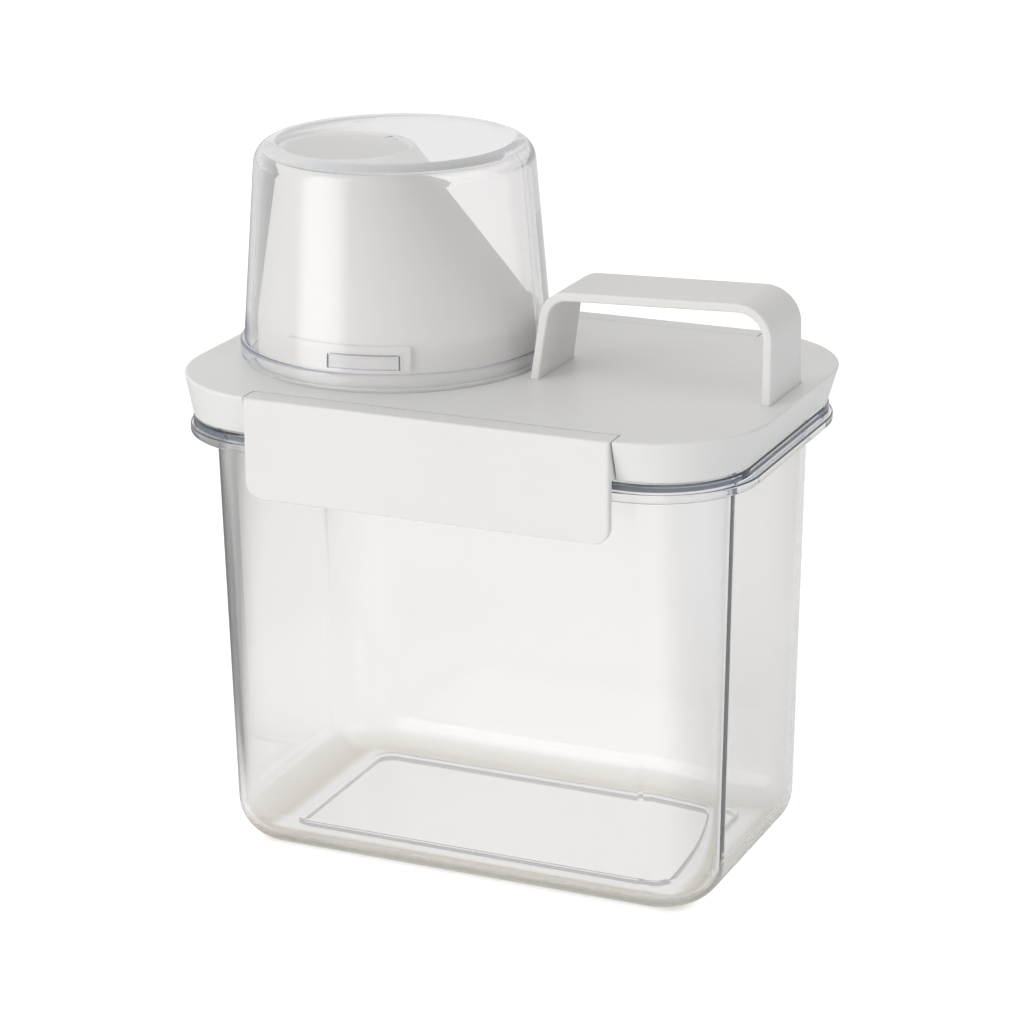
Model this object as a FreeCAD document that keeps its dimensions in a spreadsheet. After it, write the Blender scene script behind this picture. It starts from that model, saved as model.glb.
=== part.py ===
import FreeCAD, Part
import os
import Sketcher
from FreeCAD import Vector, Placement, Rotation

# Detergent storage container: a clear box-shaped jar, a white lid with a slanted
# pouring spout, a strap handle, two flaps that clip under the jar's flange, and a
# clear measuring cup that closes the spout with a bayonet.
# Millimetres. The origin is the centre of the base, +Z up, +X along the long side
# towards the handle, -Y the front.

doc = FreeCAD.newDocument("detergent_container")

# ------------------------------------------------------------------ driving sizes
SIZES = [
    # jar
    ("jar_len", 147.7, "outer length at the reference height"),
    ("jar_wid", 90.4, "outer width at the reference height"),
    ("jar_ref", 118.0, "height at which the outer sizes are stated"),
    ("jar_draft", 0.020, "draft, mm of half width per mm of height"),
    ("jar_corner", 19.6, "outer corner radius"),
    ("jar_wall", 2.6, "wall thickness"),
    ("jar_in_corner", 16.2, "inner corner radius at the reference height"),
    ("jar_base_round", 12.0, "outer round between base and walls"),
    ("jar_in_round", 9.4, "inner round between base and walls"),
    ("jar_mouth_z", 124.1, "height of the rim"),
    ("panel_len", 111.0, "raised base panel, length"),
    ("panel_wid", 57.0, "raised base panel, width"),
    ("panel_corner", 5.0, "raised base panel, corner radius"),
    ("panel_rise", 1.5, "rise of the base panel"),
    # flange
    ("fl_bot_z", 119.2, "lower edge of the flange's lip"),
    ("fl_step_z", 121.6, "height of the flange's step"),
    ("fl_len", 161.0, "flange length over the lower step"),
    ("fl_wid", 108.0, "flange width over the lower step"),
    ("fl_corner", 28.0, "flange corner radius, lower step"),
    ("fl_up_in", 1.7, "how far the upper step stands back"),
    ("fl_lip", 2.0, "thickness of the turned-down lip"),
    ("fl_web", 2.2, "thickness of the flange's web"),
    # lid
    ("lid_len", 165.6, "lid length at the top"),
    ("lid_wid", 112.2, "lid width at the top"),
    ("lid_corner", 33.2, "lid corner radius at the top"),
    ("lid_top_z", 135.5, "height of the lid's top face"),
    ("lid_foot_z", 124.6, "height of the skirt's lower edge"),
    ("foot_len", 156.6, "lid length at the skirt's lower edge"),
    ("foot_wid", 105.0, "lid width at the skirt's lower edge"),
    ("foot_corner", 23.4, "corner radius at the skirt's lower edge"),
    ("lid_plate", 2.4, "top plate thickness"),
    ("lid_wall", 2.0, "skirt and plug wall thickness"),
    ("lid_edge_round", 0.6, "round of the lid's top edge"),
    ("plug_len", 139.8, "plug wall, outer length"),
    ("plug_wid", 82.4, "plug wall, outer width"),
    ("plug_corner", 14.8, "plug wall, outer corner radius"),
    ("plug_foot_z", 119.6, "lower end of the plug wall"),
    ("seat_len", 147.0, "seat rib, outer length"),
    ("seat_wid", 89.6, "seat rib, outer width"),
    ("seat_corner", 18.4, "seat rib, outer corner radius"),
    ("seat_rib", 1.4, "seat rib thickness"),
    ("bead", 0.6, "height of the beads that hold the gasket"),
    # spout and collar
    ("sp_x", -33.75, "spout and cup axis, X"),
    ("collar_rad", 38.0, "collar outer radius"),
    ("collar_bore", 36.2, "collar inner radius"),
    ("drain_rad", 34.0, "opening in the top plate"),
    ("collar_top_z", 147.5, "top of the collar"),
    ("sp_top_z", 189.5, "top of the spout"),
    ("sp_top_rad", 18.5, "spout mouth, outer radius"),
    ("sp_shift", -14.5, "how far the mouth is off the collar's axis"),
    ("sp_wall", 2.1, "spout wall at the mouth"),
    ("sp_root_round", 6.0, "round between the collar and the spout"),
    # bayonet
    ("rib_rad", 39.2, "outer radius of the bayonet ribs"),
    ("rib_z", 145.4, "lower face of the bayonet ribs"),
    ("rib_high", 2.0, "rib height"),
    ("rib_az", -111.0, "first rib starts at this azimuth, degrees"),
    ("rib_span", 51.6, "rib span, degrees"),
    ("stop_z", 140.9, "lower end of the stop leg"),
    ("stop_az", -61.4, "stop leg azimuth, degrees"),
    ("stop_span", 2.0, "stop leg span, degrees"),
    ("lug_rad", 38.5, "inner radius of the cup's lugs"),
    ("lug_z", 141.3, "lower face of the lugs"),
    ("lug_high", 3.7, "lug height"),
    ("lug_az", -91.5, "first lug starts at this azimuth, degrees"),
    ("lug_span", 28.1, "lug span, degrees"),
    ("lug_round", 1.0, "round of the lugs' ends"),
    # cup
    ("cup_foot_z", 136.4, "open edge of the closed cup"),
    ("cup_ring_z", 140.7, "top of the ring round the open edge"),
    ("cup_ring_rad", 42.9, "ring outer radius"),
    ("cup_rad", 41.8, "wall outer radius above the ring"),
    ("cup_top_rad", 37.4, "wall outer radius at the closed end"),
    ("cup_top_z", 194.3, "closed end, outer face"),
    ("cup_wall", 1.6, "wall thickness"),
    ("cup_floor", 2.0, "closed end thickness"),
    ("cup_round", 6.0, "outer round at the closed end"),
    ("cup_in_round", 3.0, "inner round at the closed end"),
    ("gate_rad", 2.7, "radius of the gate dimple"),
    ("gate_deep", 0.25, "depth of the gate dimple"),
    # seals
    ("seal_in", 38.4, "cup seal inner radius"),
    ("seal_out", 41.6, "cup seal outer radius"),
    ("seal_high", 0.8, "cup seal height"),
    ("gask_z", 120.45, "lid gasket, lower face"),
    ("gask_high", 2.9, "lid gasket height"),
    ("gask_body", 0.6, "lid gasket, thickness of its body"),
    ("gask_lip", 0.4, "lid gasket, further reach of its lips"),
    # handle
    ("hd_thick", 2.4, "strap thickness"),
    ("hd_wide", 24.6, "strap width at the feet"),
    ("hd_slim", 1.0, "how much each side draws in towards the top"),
    ("hd_left", 10.6, "outer face of the left leg at the lid"),
    ("hd_lean", 3.5, "how far the left leg leans in towards the top"),
    ("hd_right", 77.8, "outer face of the right leg"),
    ("hd_left_z", 159.6, "top face at the left end"),
    ("hd_right_z", 161.8, "top face at the right end"),
    ("hd_left_round", 8.0, "outer bend radius, left"),
    ("hd_right_round", 9.5, "outer bend radius, right"),
    ("hd_foot_z", 130.3, "lower end of the legs"),
    ("hd_barb", 0.9, "reach of the snap barbs under the plate"),
    ("hd_slot", 0.1, "clearance round a leg in its slot"),
    # latch flaps
    ("la_len", 103.0, "flap length"),
    ("la_face", 56.7, "outer face of the flap from the middle plane"),
    ("la_thick", 2.0, "flap thickness"),
    ("la_foot_z", 108.1, "lower edge of the flap"),
    ("la_corner", 4.6, "round of the flap's lower corners"),
    ("la_edge_round", 0.7, "round of the flap's outer edges"),
    ("la_axis_y", 52.7, "pin axis from the middle plane"),
    ("la_axis_z", 132.5, "pin axis height"),
    ("la_barrel", 4.0, "radius of the flap's hinge barrel"),
    ("la_relief", 0.2, "clearance round the barrel"),
    ("la_pin", 1.25, "pin radius"),
    ("la_pin_reach", 3.6, "length of each pin"),
    ("la_pin_gap", 0.07, "radial clearance of the pin in its socket"),
    ("la_hook_z", 118.85, "top face of the hook rib"),
    ("la_hook_low", 115.6, "lower end of the hook rib"),
    ("la_hook_in", 52.5, "tip of the hook rib from the middle plane"),
    ("la_cheek", 1.8, "thickness of the end cheeks"),
    ("la_gap", 0.5, "gap at each end of the flap"),
    ("rec_back", 50.7, "back wall of the flap recess from the middle plane"),
    ("rec_wall", 2.0, "thickness of that wall"),
    ("beam_len", 116.0, "length of the hinge beam under the plate"),
]
sheet = doc.addObject("Spreadsheet::Sheet", "Sizes")
VAL = {}
for i, (name, value, note) in enumerate(SIZES, start=1):
    sheet.set("A%d" % i, name)
    sheet.set("B%d" % i, repr(value))
    sheet.set("C%d" % i, note)
    sheet.setAlias("B%d" % i, name)
    VAL[name] = value
doc.recompute()


class Q:
    """A size with its value and the spreadsheet expression that gives it."""
    def __init__(self, v, s):
        self.v = float(v)
        self.s = s

    @staticmethod
    def of(o):
        return o if isinstance(o, Q) else Q(o, repr(float(o)))

    def __add__(self, o):
        o = Q.of(o)
        return Q(self.v + o.v, "(%s + %s)" % (self.s, o.s))

    def __radd__(self, o):
        return Q.of(o) + self

    def __sub__(self, o):
        o = Q.of(o)
        return Q(self.v - o.v, "(%s - %s)" % (self.s, o.s))

    def __rsub__(self, o):
        return Q.of(o) - self

    def __mul__(self, o):
        o = Q.of(o)
        return Q(self.v * o.v, "(%s * %s)" % (self.s, o.s))

    def __rmul__(self, o):
        return Q.of(o) * self

    def __truediv__(self, o):
        o = Q.of(o)
        return Q(self.v / o.v, "(%s / %s)" % (self.s, o.s))

    def __neg__(self):
        return Q(-self.v, "(0 - %s)" % self.s)


class Sizes:
    def __getattr__(self, name):
        return Q(VAL[name], "Sizes.%s" % name)


S = Sizes()
PLANES = {"XY": "XY_Plane", "XZ": "XZ_Plane", "YZ": "YZ_Plane"}


def body(label):
    b = doc.addObject("PartDesign::Body", label)
    b.Label = label
    return b


def plane(b, which):
    for f in b.Origin.OriginFeatures:
        if f.Role == PLANES[which]:
            return f
    raise RuntimeError("no plane " + which)


def sketch(b, name, which, x=0.0, y=0.0, z=0.0, turn=None):
    """A sketch on one of the body's own origin planes, shifted by x, y, z in the
    sketch's own axes and, if turn is given, turned about its vertical axis."""
    sk = b.newObject("Sketcher::SketchObject", name)
    sk.AttachmentSupport = [(plane(b, which), "")]
    sk.MapMode = "FlatFace"
    off = [Q.of(x), Q.of(y), Q.of(z)]
    rot = Rotation() if turn is None else Rotation(Vector(0, 1, 0), Q.of(turn).v)
    sk.AttachmentOffset = Placement(Vector(off[0].v, off[1].v, off[2].v), rot)
    for axis, q in zip("xyz", off):
        if q.s.find("Sizes") >= 0:
            sk.setExpression("AttachmentOffset.Base." + axis, q.s)
    if turn is not None:
        sk.setExpression("AttachmentOffset.Rotation.Angle", Q.of(turn).s)
    return sk


def bind(sk, index, name, q):
    sk.renameConstraint(index, name)
    sk.setExpression("Constraints." + name, q.s)


def poly(sk, points):
    """A closed polygon, every corner tied to the sketch's origin by two sizes."""
    pts = [(Q.of(a), Q.of(b)) for a, b in points]
    n = len(pts)
    tag = chr(ord("a") + sk.GeometryCount % 20)
    first = sk.GeometryCount
    for i in range(n):
        p, q = pts[i], pts[(i + 1) % n]
        sk.addGeometry(Part.LineSegment(Vector(p[0].v, p[1].v, 0), Vector(q[0].v, q[1].v, 0)), False)
    for i in range(n):
        sk.addConstraint(Sketcher.Constraint("Coincident", first + i, 2, first + (i + 1) % n, 1))
    for i in range(n):
        for k, kind in ((0, "DistanceX"), (1, "DistanceY")):
            c = sk.addConstraint(Sketcher.Constraint(kind, -1, 1, first + i, 1, pts[i][k].v))
            bind(sk, c, "%s%s%d" % (tag, "xy"[k], i), pts[i][k])


def rrect(sk, hx, hy, rad, cx=0.0):
    """A rounded rectangle of half sizes hx, hy and corner radius rad about the origin."""
    hx, hy, rad = Q.of(hx), Q.of(hy), Q.of(rad)
    a, b, r = hx.v, hy.v, rad.v
    tag = "r%d" % sk.GeometryCount
    g = sk.GeometryCount
    L, A = Part.LineSegment, Part.ArcOfCircle
    up = Vector(0, 0, 1)
    import math
    pi = math.pi
    sk.addGeometry(L(Vector(-a + r, -b, 0), Vector(a - r, -b, 0)), False)
    sk.addGeometry(A(Part.Circle(Vector(a - r, -b + r, 0), up, r), -pi / 2, 0), False)
    sk.addGeometry(L(Vector(a, -b + r, 0), Vector(a, b - r, 0)), False)
    sk.addGeometry(A(Part.Circle(Vector(a - r, b - r, 0), up, r), 0, pi / 2), False)
    sk.addGeometry(L(Vector(a - r, b, 0), Vector(-a + r, b, 0)), False)
    sk.addGeometry(A(Part.Circle(Vector(-a + r, b - r, 0), up, r), pi / 2, pi), False)
    sk.addGeometry(L(Vector(-a, b - r, 0), Vector(-a, -b + r, 0)), False)
    sk.addGeometry(A(Part.Circle(Vector(-a + r, -b + r, 0), up, r), pi, 1.5 * pi), False)
    C = Sketcher.Constraint
    for i in range(8):
        sk.addConstraint(C("Tangent", g + i, 2, g + (i + 1) % 8, 1))
    sk.addConstraint(C("Horizontal", g))
    sk.addConstraint(C("Vertical", g + 2))
    sk.addConstraint(C("Horizontal", g + 4))
    sk.addConstraint(C("Vertical", g + 6))
    for i in (3, 5, 7):
        sk.addConstraint(C("Equal", g + 1, g + i))
    bind(sk, sk.addConstraint(C("Radius", g + 1, r)), tag + "rad", rad)
    bind(sk, sk.addConstraint(C("DistanceY", -1, 1, g, 1, -b)), tag + "front", -hy)
    bind(sk, sk.addConstraint(C("DistanceX", -1, 1, g + 2, 1, a)), tag + "right", hx)
    bind(sk, sk.addConstraint(C("DistanceY", -1, 1, g + 4, 1, b)), tag + "back", hy)
    bind(sk, sk.addConstraint(C("DistanceX", -1, 1, g + 6, 1, -a)), tag + "left", -hx)


def circle(sk, cx, cy, rad):
    cx, cy, rad = Q.of(cx), Q.of(cy), Q.of(rad)
    g = sk.addGeometry(Part.Circle(Vector(cx.v, cy.v, 0), Vector(0, 0, 1), rad.v), False)
    tag = "c%d" % g
    C = Sketcher.Constraint
    bind(sk, sk.addConstraint(C("Radius", g, rad.v)), tag + "rad", rad)
    bind(sk, sk.addConstraint(C("DistanceX", -1, 1, g, 3, cx.v)), tag + "cx", cx)
    bind(sk, sk.addConstraint(C("DistanceY", -1, 1, g, 3, cy.v)), tag + "cy", cy)


def feature(b, kind, name, sk, **props):
    """Add a sketch-based feature; Q values are bound to the sheet."""
    f = b.newObject("PartDesign::" + kind, name)
    f.Profile = sk
    for key, value in props.items():
        if isinstance(value, Q):
            setattr(f, key, value.v)
            f.setExpression(key, value.s)
        else:
            setattr(f, key, value)
    return f


def settle(b, sign, before):
    """Recompute and make sure that the last feature added (+1) or removed (-1) material."""
    doc.recompute()
    now = b.Tip.Shape.Volume
    print("  %-12s %-22s %10.1f %s" % (b.Label, b.Tip.Name, now, b.Tip.Shape.isValid()))
    if sign and (now - before) * sign <= 1e-3:
        raise RuntimeError("%s / %s changed nothing: %.3f -> %.3f" % (b.Label, b.Tip.Name, before, now))
    return now


def edges_where(shape, test):
    return ["Edge%d" % (i + 1) for i, e in enumerate(shape.Edges) if test(e)]


def in_plane_z(e, z, tol=0.02):
    bb = e.BoundBox
    return abs(bb.ZMin - z) < tol and abs(bb.ZMax - z) < tol


def fillet(b, name, base, edges, rad, kind="Fillet"):
    f = b.newObject("PartDesign::" + kind, name)
    f.Base = (base, edges)
    rad = Q.of(rad)
    prop = "Radius" if kind == "Fillet" else "Size"
    setattr(f, prop, rad.v)
    if rad.s.find("Sizes") >= 0:
        f.setExpression(prop, rad.s)
    doc.recompute()
    if f.State and ("Invalid" in f.State or "Error" in f.State):
        raise RuntimeError("%s failed on %d edges" % (name, len(edges)))
    return f


SUBPARTS = []


def done(b):
    doc.recompute()
    SUBPARTS.append(b)
    print("%-16s volume %9.1f mm3, solids %d, valid %s" %
          (b.Label, b.Shape.Volume, len(b.Shape.Solids), b.Shape.isValid()))


# ------------------------------------------------------------------ container
def jar_half(z, which):
    """Half length or half width of the jar's outside at height z."""
    size = S.jar_len if which == "x" else S.jar_wid
    return size / 2 + S.jar_draft * (Q.of(z) - S.jar_ref)


def jar_rad(z):
    """Outer corner radius of the jar at height z."""
    return S.jar_corner + S.jar_draft * (Q.of(z) - S.jar_ref)


jar = body("container")
s0 = sketch(jar, "jar_foot", "XY")
rrect(s0, jar_half(0.0, "x"), jar_half(0.0, "y"), jar_rad(0.0))
pad = feature(jar, "Pad", "jar_block", s0, Length=S.jar_mouth_z)
v = settle(jar, 1, 0)
dr = jar.newObject("PartDesign::Draft", "jar_draft_faces")
dr.Base = (pad, ["Face%d" % (i + 1) for i, f in enumerate(pad.Shape.Faces) if f.BoundBox.ZLength > 1])
dr.NeutralPlane = (plane(jar, "XY"), [""])
dr.Angle = 1.1458
dr.setExpression("Angle", "atan(Sizes.jar_draft)")
dr.Reversed = False
doc.recompute()
if dr.Shape.Volume < pad.Shape.Volume:
    dr.Reversed = True
v = settle(jar, 1, v)
# the cavity: its corners are tighter than the outside's, so the corners are solid
s = sketch(jar, "cavity_foot", "XY", z=S.jar_wall)
rrect(s, jar_half(0.0, "x") - S.jar_wall, jar_half(0.0, "y") - S.jar_wall,
      S.jar_in_corner - S.jar_draft * S.jar_ref)
cav = feature(jar, "Pocket", "cavity", s, Length=S.jar_mouth_z - S.jar_wall + 1.0, Reversed=True)
v = settle(jar, -1, v)


def inside_face(f):
    """True for an upright face of the cavity."""
    bb = f.BoundBox
    c = f.CenterOfMass
    return (bb.ZLength > 60 and abs(c.x) < jar_half(0.0, "x").v - 1.0 and abs(c.y) < jar_half(0.0, "y").v - 1.0
            and abs(bb.ZMin - VAL["jar_wall"]) < 0.1)


dr2 = jar.newObject("PartDesign::Draft", "cavity_draft_faces")
dr2.Base = (cav, ["Face%d" % (i + 1) for i, f in enumerate(cav.Shape.Faces) if inside_face(f)])
dr2.NeutralPlane = (plane(jar, "XY"), [""])
dr2.Angle = 1.1458
dr2.setExpression("Angle", "atan(Sizes.jar_draft)")
dr2.Reversed = False
doc.recompute()
if dr2.Shape.Volume > cav.Shape.Volume:
    dr2.Reversed = True
v = settle(jar, -1, v)
cr = fillet(jar, "jar_base_round_in", dr2,
            edges_where(dr2.Shape, lambda e: in_plane_z(e, VAL["jar_wall"])), S.jar_in_round)
v = settle(jar, 1, v)
fillet(jar, "jar_base_round_out", cr,
       edges_where(cr.Shape, lambda e: in_plane_z(e, 0)), S.jar_base_round)
v = settle(jar, -1, v)
# the flange: a lower and an upper step
wall_mid = S.jar_wall / 2
mid_x = jar_half(S.jar_mouth_z, "x") - wall_mid
mid_y = jar_half(S.jar_mouth_z, "y") - wall_mid
mid_r = jar_rad(S.jar_mouth_z) - wall_mid
s = sketch(jar, "flange_low", "XY", z=S.fl_bot_z)
rrect(s, S.fl_len / 2, S.fl_wid / 2, S.fl_corner)
rrect(s, mid_x, mid_y, mid_r)
feature(jar, "Pad", "flange_low_step", s, Length=S.fl_step_z - S.fl_bot_z)
v = settle(jar, 1, v)
s = sketch(jar, "flange_up", "XY", z=S.fl_step_z)
rrect(s, S.fl_len / 2 - S.fl_up_in, S.fl_wid / 2 - S.fl_up_in * 0.7, S.fl_corner - S.fl_up_in * 2)
rrect(s, mid_x, mid_y, mid_r)
up = feature(jar, "Pad", "flange_up_step", s, Length=S.jar_mouth_z - S.fl_step_z)
v = settle(jar, 1, v)
# the groove under the flange that leaves a turned-down lip
s = sketch(jar, "flange_groove", "XY", z=S.fl_bot_z)
rrect(s, S.fl_len / 2 - S.fl_lip, S.fl_wid / 2 - S.fl_lip, S.fl_corner - S.fl_lip)
rrect(s, jar_half(S.jar_mouth_z, "x") + 0.1, jar_half(S.jar_mouth_z, "y") + 0.1, jar_rad(S.jar_mouth_z) + 0.1)
feature(jar, "Pocket", "flange_under", s, Length=S.jar_mouth_z - S.fl_web - S.fl_bot_z, Reversed=True)
v = settle(jar, -1, v)


def far_out(e, hx, hy, m=1.2):
    """True for an edge of the outline with half sizes hx, hy."""
    p = e.valueAt((e.FirstParameter + e.LastParameter) / 2)
    q = e.valueAt(e.FirstParameter)
    return max(abs(p.x) - hx, abs(p.y) - hy, abs(q.x) - hx, abs(q.y) - hy) > -m


f1 = fillet(jar, "rim_round", jar.Tip,
            edges_where(jar.Tip.Shape, lambda e: in_plane_z(e, VAL["jar_mouth_z"])), 0.5)
f2 = fillet(jar, "step_round", f1,
            edges_where(f1.Shape, lambda e: in_plane_z(e, VAL["fl_step_z"]) and
                        far_out(e, VAL["fl_len"] / 2, VAL["fl_wid"] / 2, 0.6)), 0.45)
f3 = fillet(jar, "lip_round", f2,
            edges_where(f2.Shape, lambda e: in_plane_z(e, VAL["fl_bot_z"]) and
                        far_out(e, VAL["fl_len"] / 2, VAL["fl_wid"] / 2, 0.6)), 0.6)
v = f3.Shape.Volume
# the base panel: raised inside, hollow underneath
s = sketch(jar, "panel", "XY", z=S.jar_wall - 0.4)
rrect(s, S.panel_len / 2, S.panel_wid / 2, S.panel_corner)
pan = feature(jar, "Pad", "base_panel", s, Length=S.panel_rise + 0.4)
v = settle(jar, 1, v)
s = sketch(jar, "panel_under", "XY")
rrect(s, S.panel_len / 2 - 1.2, S.panel_wid / 2 - 1.2, S.panel_corner - 0.8)
feature(jar, "Pocket", "base_hollow", s, Length=S.panel_rise, Reversed=True)
v = settle(jar, -1, v)
r1 = fillet(jar, "panel_round", jar.Tip,
            edges_where(jar.Tip.Shape, lambda e: in_plane_z(e, VAL["jar_wall"] + VAL["panel_rise"])), 0.5)
r1 = fillet(jar, "hollow_round", r1,
            edges_where(r1.Shape, lambda e: in_plane_z(e, 0) and abs(e.CenterOfMass.y) < 29 and
                        abs(e.CenterOfMass.x) < 56), 0.4)
done(jar)


# ------------------------------------------------------------------ lid
def lid_half(z, which):
    """Half length or half width of the skirt's outside at height z."""
    a, b = (S.foot_len, S.lid_len) if which == "x" else (S.foot_wid, S.lid_wid)
    t = (Q.of(z) - S.lid_foot_z) / (S.lid_top_z - S.lid_foot_z)
    return (a + (b - a) * t) / 2


def lid_rad(z):
    t = (Q.of(z) - S.lid_foot_z) / (S.lid_top_z - S.lid_foot_z)
    return S.foot_corner + (S.lid_corner - S.foot_corner) * t


lid = body("lid")
s0 = sketch(lid, "skirt_foot", "XY", z=S.lid_foot_z)
rrect(s0, S.foot_len / 2, S.foot_wid / 2, S.foot_corner)
s1 = sketch(lid, "skirt_top", "XY", z=S.lid_top_z)
rrect(s1, S.lid_len / 2, S.lid_wid / 2, S.lid_corner)
lo = lid.newObject("PartDesign::AdditiveLoft", "lid_outside")
lo.Profile = s0
lo.Sections = [s1]
lo.Ruled = True
v = settle(lid, 1, 0)
under = S.lid_top_z - S.lid_plate
below = S.lid_foot_z - 0.5
s2 = sketch(lid, "skirt_inside_foot", "XY", z=below)
rrect(s2, lid_half(below, "x") - S.lid_wall, lid_half(below, "y") - S.lid_wall, lid_rad(below) - S.lid_wall)
s3 = sketch(lid, "skirt_inside_top", "XY", z=under)
rrect(s3, lid_half(under, "x") - S.lid_wall, lid_half(under, "y") - S.lid_wall, lid_rad(under) - S.lid_wall)
cut = lid.newObject("PartDesign::SubtractiveLoft", "lid_inside")
cut.Profile = s2
cut.Sections = [s3]
cut.Ruled = True
v = settle(lid, -1, v)
er = fillet(lid, "lid_edge_round", cut,
            edges_where(cut.Shape, lambda e: in_plane_z(e, VAL["lid_top_z"])), S.lid_edge_round)
er = fillet(lid, "skirt_foot_round", er,
            edges_where(er.Shape, lambda e: in_plane_z(e, VAL["lid_foot_z"])), 0.45)
v = settle(lid, 0, v)
# seat rib that rests on the jar's rim, and plug wall inside the mouth
s = sketch(lid, "seat", "XY", z=under)
rrect(s, S.seat_len / 2, S.seat_wid / 2, S.seat_corner)
rrect(s, S.seat_len / 2 - S.seat_rib, S.seat_wid / 2 - S.seat_rib, S.seat_corner - S.seat_rib)
feature(lid, "Pad", "seat_rib", s, Length=under - S.jar_mouth_z - 0.05, Reversed=True)
v = settle(lid, 1, v)
s = sketch(lid, "plug", "XY", z=under)
rrect(s, S.plug_len / 2, S.plug_wid / 2, S.plug_corner)
rrect(s, S.plug_len / 2 - S.lid_wall, S.plug_wid / 2 - S.lid_wall, S.plug_corner - S.lid_wall)
feature(lid, "Pad", "plug_wall", s, Length=under - S.plug_foot_z, Reversed=True)
v = settle(lid, 1, v)
for nm, z, high in (("bead_low", S.plug_foot_z, S.gask_z - 0.05 - S.plug_foot_z),
                    ("bead_high", S.gask_z + S.gask_high + 0.05, Q.of(0.7))):
    s = sketch(lid, nm + "_sk", "XY", z=z)
    rrect(s, S.plug_len / 2 + S.bead, S.plug_wid / 2 + S.bead, S.plug_corner + S.bead)
    rrect(s, S.plug_len / 2 - 0.5, S.plug_wid / 2 - 0.5, S.plug_corner - 0.5)
    feature(lid, "Pad", nm, s, Length=high)
    v = settle(lid, 1, v)
# hinge beams under the plate, front and back
far = S.rec_back - S.rec_wall
for nm, g in (("front", -1), ("rear", 1)):
    s = sketch(lid, "beam_" + nm, "YZ")
    top_in = S.la_axis_y - S.la_barrel - S.la_relief - S.rec_wall
    poly(s, [(g * (lid_half(under, "y") - S.lid_wall - 0.4), under + 0.2),
             (g * top_in, under + 0.2),
             (g * top_in, S.la_axis_z - 4.0),
             (g * far, S.la_axis_z - 6.4),
             (g * far, S.lid_foot_z + 0.1),
             (g * (S.foot_wid / 2 - 1.0), S.lid_foot_z + 0.1)][::g])
    feature(lid, "Pad", "hinge_beam_" + nm, s, Length=S.beam_len, Midplane=True)
    v = settle(lid, 1, v)
for nm, g in (("front", -1), ("rear", 1)):
    s = sketch(lid, "recess_" + nm, "YZ")
    poly(s, [(g * S.rec_back, S.lid_foot_z - 1.0), (g * (S.la_face + 4.0), S.lid_foot_z - 1.0),
             (g * (S.la_face + 4.0), S.lid_top_z + 1.0), (g * (S.la_axis_y + 0.0), S.lid_top_z + 1.0),
             (g * S.la_axis_y, S.la_axis_z), (g * S.rec_back, S.la_axis_z)][::g])
    feature(lid, "Pocket", "flap_recess_" + nm, s, Length=S.la_len + 2 * S.la_gap, Midplane=True)
    v = settle(lid, -1, v)
    s = sketch(lid, "barrel_" + nm, "YZ")
    circle(s, g * S.la_axis_y, S.la_axis_z, S.la_barrel + S.la_relief)
    feature(lid, "Pocket", "barrel_relief_" + nm, s, Length=S.la_len + 2 * S.la_gap, Midplane=True)
    v = settle(lid, -1, v)
    s = sketch(lid, "socket_" + nm, "YZ")
    circle(s, g * S.la_axis_y, S.la_axis_z, S.la_pin + S.la_pin_gap)
    feature(lid, "Pocket", "pin_sockets_" + nm, s, Length=S.la_len + 2 * S.la_pin_reach + 0.8, Midplane=True)
    v = settle(lid, -1, v)
# opening under the spout, collar, spout
s = sketch(lid, "drain", "XY", z=S.lid_top_z)
circle(s, S.sp_x, 0.0, S.drain_rad)
feature(lid, "Pocket", "drain_opening", s, Length=S.lid_plate + 0.5)
v = settle(lid, -1, v)
s = sketch(lid, "collar_sk", "XY", z=S.lid_top_z - 0.5)
circle(s, S.sp_x, 0.0, S.collar_rad)
circle(s, S.sp_x, 0.0, S.collar_bore)
feature(lid, "Pad", "collar", s, Length=S.collar_top_z - S.lid_top_z + 0.5)
v = settle(lid, 1, v)
s0 = sketch(lid, "spout_root", "XY", z=S.collar_top_z)
circle(s0, S.sp_x, 0.0, S.collar_rad)
s1 = sketch(lid, "spout_mouth", "XY", z=S.sp_top_z)
circle(s1, S.sp_x + S.sp_shift, 0.0, S.sp_top_rad)
lo = lid.newObject("PartDesign::AdditiveLoft", "spout_outside")
lo.Profile = s0
lo.Sections = [s1]
v = settle(lid, 1, v)
s0 = sketch(lid, "spout_root_in", "XY", z=S.collar_top_z - 1.2)
circle(s0, S.sp_x, 0.0, S.collar_bore)
s1 = sketch(lid, "spout_mouth_in", "XY", z=S.sp_top_z)
circle(s1, S.sp_x + S.sp_shift, 0.0, S.sp_top_rad - S.sp_wall)
lo = lid.newObject("PartDesign::SubtractiveLoft", "spout_inside")
lo.Profile = s0
lo.Sections = [s1]
v = settle(lid, -1, v)
rim = fillet(lid, "spout_rim_round", lo,
             edges_where(lo.Shape, lambda e: in_plane_z(e, VAL["sp_top_z"])), 0.7)
rim = fillet(lid, "spout_root_round", rim,
             edges_where(rim.Shape, lambda e: in_plane_z(e, VAL["collar_top_z"]) and
                         abs(e.BoundBox.YLength / 2 - VAL["collar_rad"]) < 0.05), S.sp_root_round)
v = rim.Shape.Volume
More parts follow.
